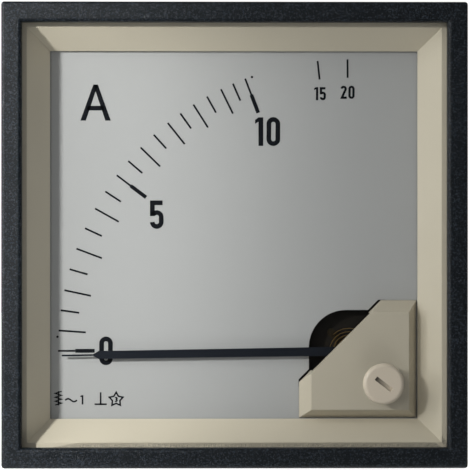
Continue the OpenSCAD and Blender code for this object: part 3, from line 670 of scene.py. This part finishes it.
# A dark copy of brass as painted shade, for the lever and bridge deep inside the meter.
shaded_brass = metal(
    "shaded_brass", (0.1, 0.078, 0.045), (0.05, 0.042, 0.03), 0.4, DRAWN,
    Stretch=(1, 5, 1), Line=0.15,
)
aluminium = metal(
    "aluminium", (0.74, 0.75, 0.76), (0.62, 0.63, 0.65), 0.34, DRAWN,
    Stretch=(1, 4, 1), Line=0.12,
)
copper = metal(
    "copper", (0.75, 0.4, 0.26), (0.58, 0.29, 0.17), 0.34, DRAWN, Stretch=(4, 1, 1), Line=0.15
)
enamelled_copper = enamelled_wire()
pane = clear_pane()

FINISHES = (
    (bezel_black, ["front_bezel"]),
    (case_black, ["case"]),
    (pane, ["window_pane"]),
    (cream_plastic, ["mask_frame"]),
    (cover_plastic, ["corner_cover"]),
    (button_plastic, ["zero_adjuster"]),
    (dial_paint, ["dial_plate"]),
    (pointer_paint, ["pointer"]),
    (natural_plastic, ["coil_bobbin"]),
    (
        frame_plastic,
        ["front_plate", "rear_plate", "frame_posts", "damping_cup", "damping_lid"],
    ),
    (
        brass,
        [
            "lever_bush", "front_bearing", "rear_bearing", "pointer_hub", "counterweight",
            "terminal_studs", "terminal_nuts",
        ],
    ),
    (shaded_brass, ["zero_lever", "front_bridge"]),
    (bronze, ["hairspring"]),
    (
        steel,
        [
            "adjuster_clip", "bridge_screws", "stop_pins", "spindle", "frame_screws",
            "terminal_washers",
        ],
    ),
    (iron, ["moving_iron", "fixed_iron"]),
    (aluminium, ["damping_vane"]),
    (copper, ["left_strap", "right_strap"]),
    (enamelled_copper, ["coil_winding"]),
)
for finish, dressed in FINISHES:
    for node in dressed:
        for material_slot in NODES[node].material_slots:
            material_slot.material = finish


# ---------------------------------------------------------------- dial print

# Distances from the pointer's axis where ticks start and end, and their widths. A broad
# tick is thin down to BROAD_OUTER.
SCALE_OUTER = 61.2
SHORT_TICK = 57.3
LONG_TICK = 55.5
BROAD_OUTER = 57.55
BROAD_TICK = 53.5
THIN = 0.39
BROAD = 0.8
# Where each number of the scale lies, in degrees clockwise from the left.
SCALE = {
    0: 0.0, 1: 4.0, 2: 12.0, 3: 20.5, 4: 29.2, 5: 37.0,
    6: 44.2, 7: 51.4, 8: 57.6, 9: 63.8, 10: 69.0, 15: 83.7, 20: 89.6,
}
BROAD_AT = (0, 5, 10)
EVERY_TO = 10  # up to here each whole number has a long tick and a short one after it


def tick(angle, outer, inner, width):
    """A straight line between two distances from the pointer's axis."""
    a = math.radians(angle)
    way = np.array([-math.cos(a), math.sin(a)])
    middle = np.array([PIVOT[0], PIVOT[2]])
    return line([middle + way * outer, middle + way * inner], width)


marks = []
for value, angle in SCALE.items():
    if value in BROAD_AT:
        marks.append(tick(angle, SCALE_OUTER, BROAD_OUTER, THIN))
        marks.append(tick(angle, BROAD_OUTER, BROAD_TICK, BROAD))
    else:
        inner = LONG_TICK if value < EVERY_TO else SHORT_TICK
        marks.append(tick(angle, SCALE_OUTER, inner, THIN))
    if 1 <= value < EVERY_TO:
        marks.append(tick((angle + SCALE[value + 1]) / 2, SCALE_OUTER, SHORT_TICK, THIN))
make_piece("scale_marks", marks, print_ink)

# Each digit with its left end, base line, height, width and pen.
NUMBERS = [
    ("0", -28.25, -27.3, 6.0, 2.84, 0.98),
    ("5", -17.6, 1.3, 5.95, 2.84, 0.98),
    ("1", 4.45, 18.7, 6.0, 1.72, 1.0),
    ("0", 6.85, 18.7, 6.05, 2.88, 0.98),
    ("1", 16.85, 28.3, 2.75, 0.87, 0.49),
    ("5", 18.05, 28.3, 2.75, 1.27, 0.48),
    ("2", 22.4, 28.6, 2.75, 1.32, 0.48),
    ("0", 24.05, 28.6, 2.75, 1.32, 0.48),
]
digits = []
for digit, x, z, tall, wide, pen in NUMBERS:
    digits += DIGITS[digit]((x, z), tall, wide, pen)
make_piece("scale_numbers", digits, print_ink)

# The unit letter's height and width, a leg's width at its foot and at its top, and place.
A_HIGH, A_WIDE, A_FOOT, A_TOP = 7.55, 6.38, 1.14, 0.94
A_AT = (-32.2, 24.0)
left_leg = np.array(
    [(0, 0), (A_FOOT, 0), ((A_WIDE + A_TOP) / 2, A_HIGH), ((A_WIDE - A_TOP) / 2, A_HIGH)]
)
right_leg = (left_leg * (-1, 1) + (A_WIDE, 0))[::-1]
crossbar = [(1.25, 2.13), (5.1, 2.13), (4.75, 3.1), (1.6, 3.1)]
make_piece(
    "unit_letter",
    [patch(left_leg, A_AT), patch(right_leg, A_AT), patch(crossbar, A_AT)],
    print_ink,
)


SIGN_PEN = 0.33
WAVE_PEN = 0.34
COIL_PEN = 0.26


def coil_sign(x, z):
    """An iron core in a coil: a zigzag of seven strokes down a straight line."""
    corners = 8
    zigzag = [(-0.68 if i % 2 else 0.68, 2.9 - 0.41 * i) for i in range(corners)]
    return [
        line(zigzag, COIL_PEN, (x, z)),
        line([(0, 0), (0, 3)], COIL_PEN, (x, z - 0.05)),
    ]


def wave_sign(x, z, length=2.5, swing=0.3):
    """Alternating current: one full sine wave, swing * sin(2 pi t) over length * t."""
    t = np.linspace(0, 1, 33)
    wave = np.column_stack([length * t, swing * np.sin(2 * math.pi * t)])
    return [line(wave, WAVE_PEN, (x, z))]


def upright_sign(x, z, high=2.6, reach=1.28):
    """The dial stands upright: a stem on a bar."""
    return [
        line([(0, 0), (0, high)], SIGN_PEN, (x, z)),
        line([(-reach, 0), (reach, 0)], SIGN_PEN, (x, z + 0.1)),
    ]


def star_sign(x, z, outer=1.5, inner=0.82):
    """Test voltage: a star of five points, its corners in turn at outer and inner."""
    corners = np.arange(10)
    a = np.radians(90 + 36 * corners)
    reach = np.where(corners % 2, inner, outer)
    star = np.column_stack([reach * np.cos(a), reach * np.sin(a)])
    number = digit_three((x - 0.4, z - 0.55), 1.1, 0.72, 0.31)
    return [line(star, SIGN_PEN, (x, z), closed=True)] + number


def instrument_signs():
    """The usual signs of a moving-iron meter for alternating current, from the left:
    iron in a coil, wave, accuracy class, upright dial, and test voltage in a star."""
    return (
        coil_sign(-36.8, -35.7)
        + wave_sign(-35.4, -34.65)
        + digit_one((-32.2, -35.55), 1.95, 0.62, 0.34)
        + upright_sign(-27.95, -35.6)
        + star_sign(-24.7, -34.5)
    )


make_piece("dial_signs", instrument_signs(), print_ink)

DOT_R = 0.25
DOTS_AT = ((3.8, 33.15), (-37.0, -21.35))
dot = arc(0, 0, DOT_R, DOT_R, 0, 345, 24)
make_piece("setting_dots", [patch(dot, at) for at in DOTS_AT], print_ink)


# ---------------------------------------------------------------- threaded studs

FREE_R = 2.0
SHANK_R = 2.4
PITCH = 0.7
THREAD_DEPTH = 0.38
ROWS_PER_PITCH = 8
TURN_STEPS = 48
TIP_CHAMFER = 0.6
# The thread's section: top minus fall times the distance from the middle of a pitch,
# kept between 0 and 1.
SAW_TOP, SAW_FALL = 1.25, 3.0
HEAD_T = 2.5
HEAD_FLATS = 8
HEAD_OVERLAP = 0.2
NUT_OVERHANG = 0.1
TERMINAL_X = 18.0  # from the meter's middle to each terminal


def threaded_stud(x, z, start, step_at, tip):
    """A stud along Y with a screw thread on all its length.

    The radius is outer - depth * (1 - saw(t)), where outer is the shank's radius up to
    step_at and then the free end's, t is y / pitch minus the turn, and saw is 1 in the
    middle of a pitch and falls to 0 on both sides. It is never more than the cone of the
    chamfer at the tip, whose radius falls as y rises."""
    rows = int((tip - start) / PITCH * ROWS_PER_PITCH)
    y = np.linspace(start, tip, rows)[:, None]
    turn = np.linspace(0, 1, TURN_STEPS, endpoint=False)[None, :]
    phase = (y / PITCH - turn) % 1
    saw = np.clip(SAW_TOP - np.abs(phase - 0.5) * SAW_FALL, 0, 1)
    outer = np.where(y < step_at, SHANK_R, FREE_R)
    cone = np.where(y > tip - TIP_CHAMFER, FREE_R - (y - tip + TIP_CHAMFER), outer)
    r = np.minimum(cone, outer - THREAD_DEPTH * (1 - saw))
    angle = 2 * math.pi * turn
    grid = np.stack([x + r * np.cos(angle), y + 0 * angle, z + r * np.sin(angle)], axis=-1)
    points = grid.reshape(-1, 3)
    i = np.arange(rows - 1)[:, None] * TURN_STEPS
    j = np.arange(TURN_STEPS)[None, :]
    k = (j + 1) % TURN_STEPS
    quads = np.stack([i + j, i + TURN_STEPS + j, i + TURN_STEPS + k, i + k], axis=-1)
    faces = [tuple(q) for q in quads.reshape(-1, 4)]
    ring = np.arange(TURN_STEPS)
    faces += [tuple(ring), tuple(ring[::-1] + (rows - 1) * TURN_STEPS)]
    return points, faces


stud_low, stud_high = low("terminal_studs"), high("terminal_studs")
stud_z = (stud_low[2] + stud_high[2]) / 2
nut_end = high("terminal_nuts")[1]
head_r = HEAD_FLATS / math.sqrt(3)
solids = []
for side in (-1, 1):
    stud_x = side * TERMINAL_X
    start, step_at = stud_low[1] + HEAD_T - HEAD_OVERLAP, nut_end + NUT_OVERHANG
    solids.append(threaded_stud(stud_x, stud_z, start, step_at, stud_high[1]))
    head = arc(stud_x, stud_z, head_r, head_r, 0, 300, 6)
    solids.append(flat_solid(head, stud_low[1], stud_low[1] + HEAD_T))
studs = make_piece("threaded_studs", solids, brass)
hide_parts("terminal_studs")


# ---------------------------------------------------------------- floor and light

FILL = 0.235  # the room's light on the object from all around
FRONT_SIDE = 0.05  # what metal and the pane mirror of the room's front
BACK_FROM, BACK_GAIN = 0.4, 3.0  # where, towards +Y, the mirrored room turns white
WHITE, BLACK = (1.0, 1.0, 1.0), (0.0, 0.0, 0.0)


def grey(value):
    """The colour whose three parts are value."""
    return (value, value, value)


def ray_is(tree, *kinds):
    """1 for rays of any of these kinds, and 0 for the others."""
    path = tree.nodes.new("ShaderNodeLightPath")
    found = path.outputs[kinds[0]]
    for kind in kinds[1:]:
        found = maths(tree, "MAXIMUM", found, path.outputs[kind])
    return found


def light_room():
    """The world: white to the camera, an even fill to the object's surfaces, and to
    mirrors white behind the meter and dim in front of it."""
    world = bpy.data.worlds.new("studio")
    bpy.context.scene.world = world
    world.use_nodes = True
    sky = world.node_tree
    way = sky.nodes.new("ShaderNodeTexCoord")
    parts = sky.nodes.new("ShaderNodeSeparateXYZ")
    sky.links.new(way.outputs["Generated"], parts.inputs[0])
    past = maths(sky, "SUBTRACT", parts.outputs["Y"], BACK_FROM)
    behind = maths(sky, "MULTIPLY", past, BACK_GAIN, clamp=True)
    mirrored = mixed(sky, behind, grey(FRONT_SIDE), WHITE)
    mirror_ray = ray_is(sky, "Is Glossy Ray", "Is Transmission Ray")
    colour = mixed(sky, mirror_ray, grey(FILL), mirrored)
    colour = mixed(sky, ray_is(sky, "Is Camera Ray"), colour, WHITE)
    sky.links.new(colour, sky.nodes["Background"].inputs["Color"])


FLOOR_FRONT, FLOOR_BACK, FLOOR_SIDE = -8.0, 900.0, 700.0
FLOOR_DROP = 0.02  # under the lowest point of the bezel
FLOOR_GLOW = 0.8  # the light that it shows to the camera and to mirrors


def pale_floor():
    """A pale floor that looks white to the camera and in mirrors, and keeps shadows."""
    sheet = Sheet("pale_floor", (0.8, 0.8, 0.79), 0.6)
    skin = sheet.group(SKIN, Grain=1.2, Patch=90.0)
    sheet.bump(skin.outputs["Relief"], 0.02)
    seen = ray_is(sheet.tree, "Is Camera Ray", "Is Glossy Ray", "Is Transmission Ray")
    glow = mixed(sheet.tree, seen, BLACK, grey(FLOOR_GLOW))
    sheet.link(glow, sheet.shader.inputs["Emission Color"])
    sheet.set("Emission Strength", 1.0)
    corners = (
        (-FLOOR_SIDE, FLOOR_FRONT),
        (FLOOR_SIDE, FLOOR_FRONT),
        (FLOOR_SIDE, FLOOR_BACK),
        (-FLOOR_SIDE, FLOOR_BACK),
    )
    level = (BASE_LEVEL - FLOOR_DROP) * MM
    mesh = bpy.data.meshes.new("floor")
    mesh.from_pydata([(x * MM, y * MM, level) for x, y in corners], [], [(0, 1, 2, 3)])
    mesh.materials.append(sheet.material)
    floor = bpy.data.objects.new("floor", mesh)
    bpy.context.scene.collection.objects.link(floor)


light_room()
pale_floor()


def hang_lamp(name, light, place, aim):
    """Puts a light at place, facing aim; both in millimetres."""
    lamp = bpy.data.objects.new(name, light)
    lamp.location = Vector(place) * MM
    lamp.rotation_euler = (Vector(aim) - Vector(place)).to_track_quat("-Z", "Y").to_euler()
    bpy.context.scene.collection.objects.link(lamp)


def soft_lamp(name, place, size, watts, colour=WHITE, aim=(0, 0, 0)):
    """A square lamp at place that faces aim."""
    light = bpy.data.lights.new(name, "AREA")
    light.size = size * MM
    light.energy = watts
    light.color = colour
    hang_lamp(name, light, place, aim)


def soft_spot(name, place, aim, radius, watts, colour, cone, blend):
    """A round lamp at place that faces aim, with a cone of light that is even in its
    middle and fades out over the outer share blend."""
    light = bpy.data.lights.new(name, "SPOT")
    light.shadow_soft_size = radius * MM
    light.energy = watts
    light.color = colour
    light.spot_size = math.radians(cone)
    light.spot_blend = blend
    hang_lamp(name, light, place, aim)


WARM = (1.0, 0.985, 0.955)
SIDE_LAMP_AT = (-325, -350, 117)
soft_lamp("side_lamp", SIDE_LAMP_AT, size=36, watts=0.62, colour=WARM)
soft_lamp("upper_lamp", (-400, -234, 235), size=220, watts=0.64, colour=WARM)
soft_lamp("glint_lamp", (-150, -456, 105), size=110, watts=0.11, colour=WARM)
soft_lamp("left_fill", (-480, -170, 60), size=150, watts=0.42, colour=WARM)
soft_lamp("reflector", (60, -260, -330), size=200, watts=0.15, colour=WARM)
soft_spot(
    "side_spot", SIDE_LAMP_AT, (-152, 0, 28),
    radius=18, watts=7.1, colour=WARM, cone=35.6, blend=0.33,
)
soft_lamp("rear_lamp", (420, 520, 520), size=260, watts=2.2, aim=(0, 40, 0))


# ---------------------------------------------------------------- camera

VIEW_DISTANCE = 450
CAMERA_AT = Vector((-10, BEZEL_FRONT - VIEW_DISTANCE, 0))
CAMERA_AIM = Vector((-5, BEZEL_FRONT, 0))
camera = bpy.data.cameras.new("camera")
camera.sensor_width = 36
camera.lens = 167.8
camera.shift_x = 0.052
camera.clip_start = 0.01
camera.clip_end = 20
viewer = bpy.data.objects.new("camera", camera)
viewer.location = CAMERA_AT * MM
viewer.rotation_euler = (CAMERA_AIM - CAMERA_AT).to_track_quat("-Z", "Y").to_euler()
bpy.context.scene.collection.objects.link(viewer)
bpy.context.scene.camera = viewer
bpy.context.scene.view_settings.view_transform = "Standard"
